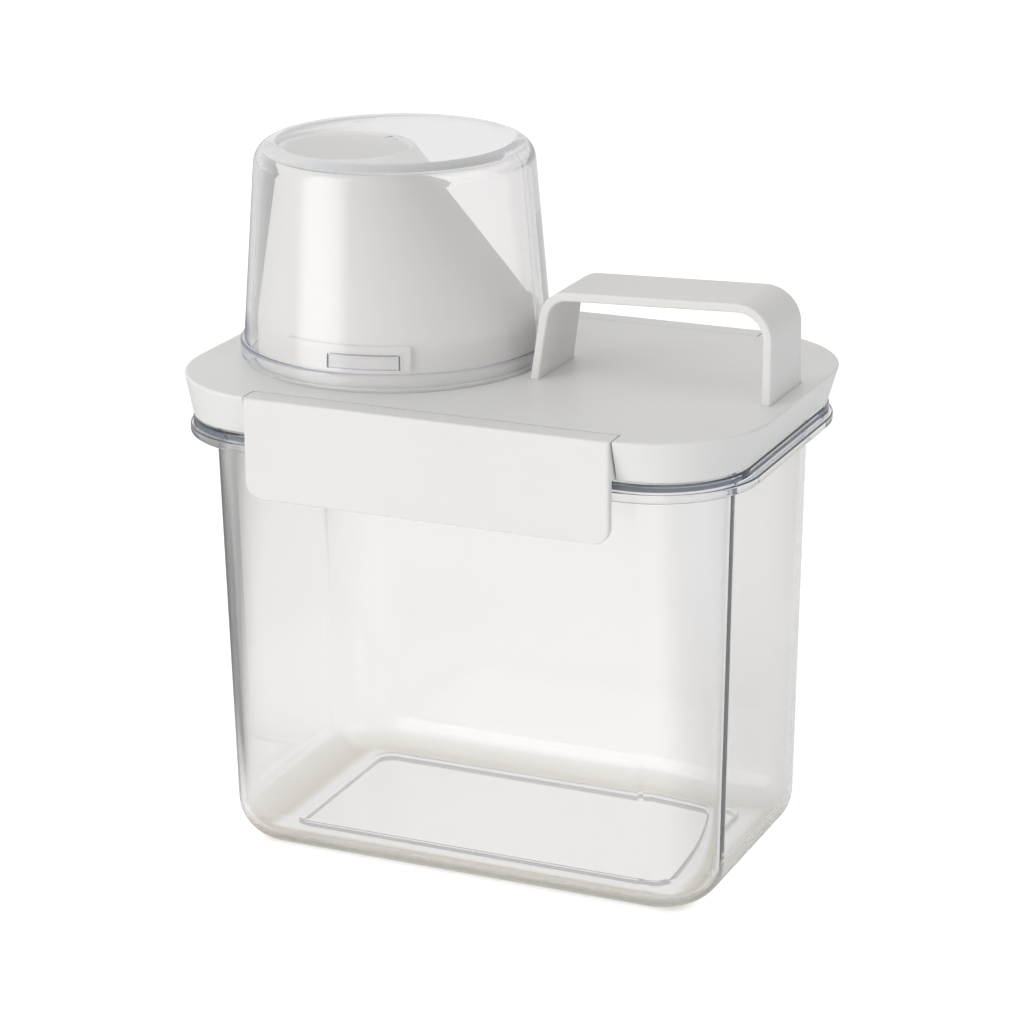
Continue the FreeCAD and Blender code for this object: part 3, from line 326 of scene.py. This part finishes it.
# a soft panel of light stands at the front left and runs down on to the table
PANEL = Vector((-0.553, -0.833, 0.0)).normalized()
px = t.math("ADD", sep.outputs["X"], 0.034)
plen = t.math("MAXIMUM", t.math("SQRT", t.math("ADD", t.math("MULTIPLY", px, px), t.math("MULTIPLY", sep.outputs["Y"], sep.outputs["Y"]))), 0.001)
pdot = t.math("DIVIDE", t.math("ADD", t.math("MULTIPLY", px, PANEL.x), t.math("MULTIPLY", sep.outputs["Y"], PANEL.y)), plen)
strip = t.n("MapRange", interpolation_type="SMOOTHSTEP")
t.link(pdot, strip.inputs[0])
strip.inputs[1].default_value, strip.inputs[2].default_value = 0.905, 0.998
strip.inputs[3].default_value, strip.inputs[4].default_value = 0.0, 2.2
pool = t.math("ADD", pool, t.math("MULTIPLY", strip.outputs[0], t.map_range(plen, 0.55, 1.0, 0.0, 1.0)))
# the shade that the rounded foot throws round itself
dx = t.math("MAXIMUM", t.math("SUBTRACT", t.math("ABSOLUTE", sep.outputs["X"]), 0.058), 0.0)
dy = t.math("MAXIMUM", t.math("SUBTRACT", t.math("ABSOLUTE", sep.outputs["Y"]), 0.029), 0.0)
ring = t.math("SQRT", t.math("ADD", t.math("MULTIPLY", dx, dx), t.math("MULTIPLY", dy, dy)))
rise = t.map_range(ring, 0.001, 0.006, 0.0, 1.0)
fall = t.map_range(ring, 0.010, 0.026, 1.0, 0.0)
dusk = t.math("MULTIPLY", rise, fall)
shade = t.math("MULTIPLY", dusk, 0.21)
pool = t.math("MULTIPLY", pool, t.math("SUBTRACT", 1.0, shade))
# painted shade on the floor's glow: under the object, and in its lee at the right rear
under = t.map_range(ring, 0.0, 0.006, 0.08, 0.0)
lee = t.math("MULTIPLY", t.map_range(across, -0.070, -0.045, 0.15, 0.0), t.map_range(far.outputs["Value"], 0.10, 0.24, 1.0, 0.0))
pool = t.math("MULTIPLY", pool, t.math("SUBTRACT", 1.0, t.math("MAXIMUM", under, lee)))
# painted cool light: far off to the right the floor's glow turns bluer
cool = t.math("MULTIPLY", t.map_range(sep.outputs["X"], 0.20, 0.28, 0.0, 1.0), t.map_range(far.outputs["Value"], 0.42, 0.60, 1.0, 0.0))
tone = t.mix(cool, (1.0, 1.0, 0.99, 1.0), (0.80, 0.92, 1.08, 1.0))
# the painted foot shade is warm
tone = t.mix(t.math("MULTIPLY", dusk, 0.5), tone, (1.0, 0.93, 0.78, 1.0))
lp = t.n("LightPath")
# what the camera sees of the table itself: plain white with a soft warm contact shade at the foot
near = t.map_range(ring, 0.0035, 0.0080, 1.0, 0.0)
foot = t.mix(near, (1.0, 1.0, 1.0, 1.0), (1.0, 0.96, 0.88, 1.0))
t.link(t.mix(lp.outputs["Is Camera Ray"], tone, foot), e.inputs["Color"])
seen = t.math("MULTIPLY", t.math("SUBTRACT", 1.0, t.math("MULTIPLY", near, 0.44)), 0.98)
cam_or = t.n("Mix", data_type="FLOAT")
t.link(lp.outputs["Is Camera Ray"], cam_or.inputs[0])
t.link(pool, cam_or.inputs[2])
t.link(seen, cam_or.inputs[3])
t.link(cam_or.outputs[0], e.inputs["Strength"])
a = t.n("AddShader")
t.link(d.outputs[0], a.inputs[0])
t.link(e.outputs[0], a.inputs[1])
o = t.n("OutputMaterial")
t.link(a.outputs[0], o.inputs["Surface"])
mesh.materials.append(mat)

# ---------------------------------------------------------------- light
world = bpy.data.worlds.new("studio")
scene.world = world
t = Tree(world)
tc = t.n("TexCoord")
sep = t.n("SeparateXYZ")
t.link(tc.outputs["Generated"], sep.inputs[0])


def lobe(direction, low, high, strength):
    """A soft patch of light in the sky round a direction."""
    v = Vector(direction).normalized()
    dot = t.n("VectorMath", operation="DOT_PRODUCT")
    t.link(tc.outputs["Generated"], dot.inputs[0])
    dot.inputs[1].default_value = v
    m = t.n("MapRange", interpolation_type="SMOOTHSTEP")
    m.inputs[1].default_value, m.inputs[2].default_value = low, high
    m.inputs[3].default_value, m.inputs[4].default_value = 0.0, strength
    t.link(dot.outputs["Value"], m.inputs[0])
    return m.outputs[0]


val = lobe((-0.41, 0.91, 0.12), 0.35, 0.90, 0.62)
val = t.math("ADD", val, lobe((-0.80, -0.55, 0.35), 0.1, 0.95, 0.50))
val = t.math("ADD", val, lobe((0.1, -0.95, 0.10), 0.3, 0.95, 0.12))
val = t.math("ADD", val, lobe((0.0, 0.0, 1.0), 0.3, 1.0, 0.10))
val = t.math("ADD", val, lobe((0.80, -0.55, 0.30), 0.2, 0.95, 0.20))
# the panel of light: a band of azimuth, fading upwards
flat = t.n("CombineXYZ")
t.link(sep.outputs["X"], flat.inputs[0])
t.link(sep.outputs["Y"], flat.inputs[1])
unit = t.n("VectorMath", operation="NORMALIZE")
t.link(flat.outputs[0], unit.inputs[0])
dotp = t.n("VectorMath", operation="DOT_PRODUCT")
t.link(unit.outputs["Vector"], dotp.inputs[0])
dotp.inputs[1].default_value = PANEL
band = t.n("MapRange", interpolation_type="SMOOTHSTEP")
t.link(dotp.outputs["Value"], band.inputs[0])
band.inputs[1].default_value, band.inputs[2].default_value = 0.905, 0.998
band.inputs[3].default_value, band.inputs[4].default_value = 0.0, 2.2
val = t.math("ADD", val, t.math("MULTIPLY", band.outputs[0], t.map_range(sep.outputs["Z"], 0.20, 0.66, 1.0, 0.0)))
val = t.math("ADD", val, 0.22)
bg = t.n("Background")
bg.inputs["Color"].default_value = (1.0, 0.995, 0.99, 1)
t.link(val, bg.inputs["Strength"])
o = t.n("OutputWorld")
t.link(bg.outputs[0], o.inputs["Surface"])


def area(name, loc, target, size, power, col=(1, 1, 1), shape="RECTANGLE"):
    L = bpy.data.lights.new(name, "AREA")
    L.shape = shape
    L.size, L.size_y = size
    L.energy = power
    L.color = col
    ob = bpy.data.objects.new(name, L)
    scene.collection.objects.link(ob)
    ob.location = loc
    ob.rotation_mode = "QUATERNION"
    ob.rotation_quaternion = (Vector(target) - Vector(loc)).to_track_quat("-Z", "Y")
    return ob


area("key", (-0.85, -1.30, 1.00), (0, 0, 0.12), (0.80, 0.80), 1.8)
area("right", (1.45, -0.18, 0.90), (0, 0, 0.12), (1.5, 1.3), 4.1)
area("top", (-0.1, 0.1, 1.5), (0, 0, 0.1), (1.1, 1.1), 0.9)

# ---------------------------------------------------------------- camera
cam = bpy.data.cameras.new("camera")
cam.sensor_fit = "HORIZONTAL"
cam.sensor_width = 36.0
cam.lens = 3354.95 / 1024.0 * 36.0
cam.clip_start, cam.clip_end = 0.01, 60.0
az, el, roll = math.radians(24.239), math.radians(18.474), math.radians(-0.568)
back = Vector((math.sin(az) * math.cos(el), -math.cos(az) * math.cos(el), math.sin(el)))
right = Vector((math.cos(az), math.sin(az), 0.0))
up = back.cross(right)
r2 = math.cos(roll) * right + math.sin(roll) * up
u2 = -math.sin(roll) * right + math.cos(roll) * up
eye = -0.001279 * r2 + 0.088537 * u2 + 0.943499 * back
m = Matrix((
    (r2.x, u2.x, back.x, eye.x),
    (r2.y, u2.y, back.y, eye.y),
    (r2.z, u2.z, back.z, eye.z),
    (0, 0, 0, 1)))
co = bpy.data.objects.new("camera", cam)
scene.collection.objects.link(co)
co.matrix_world = m
scene.camera = co
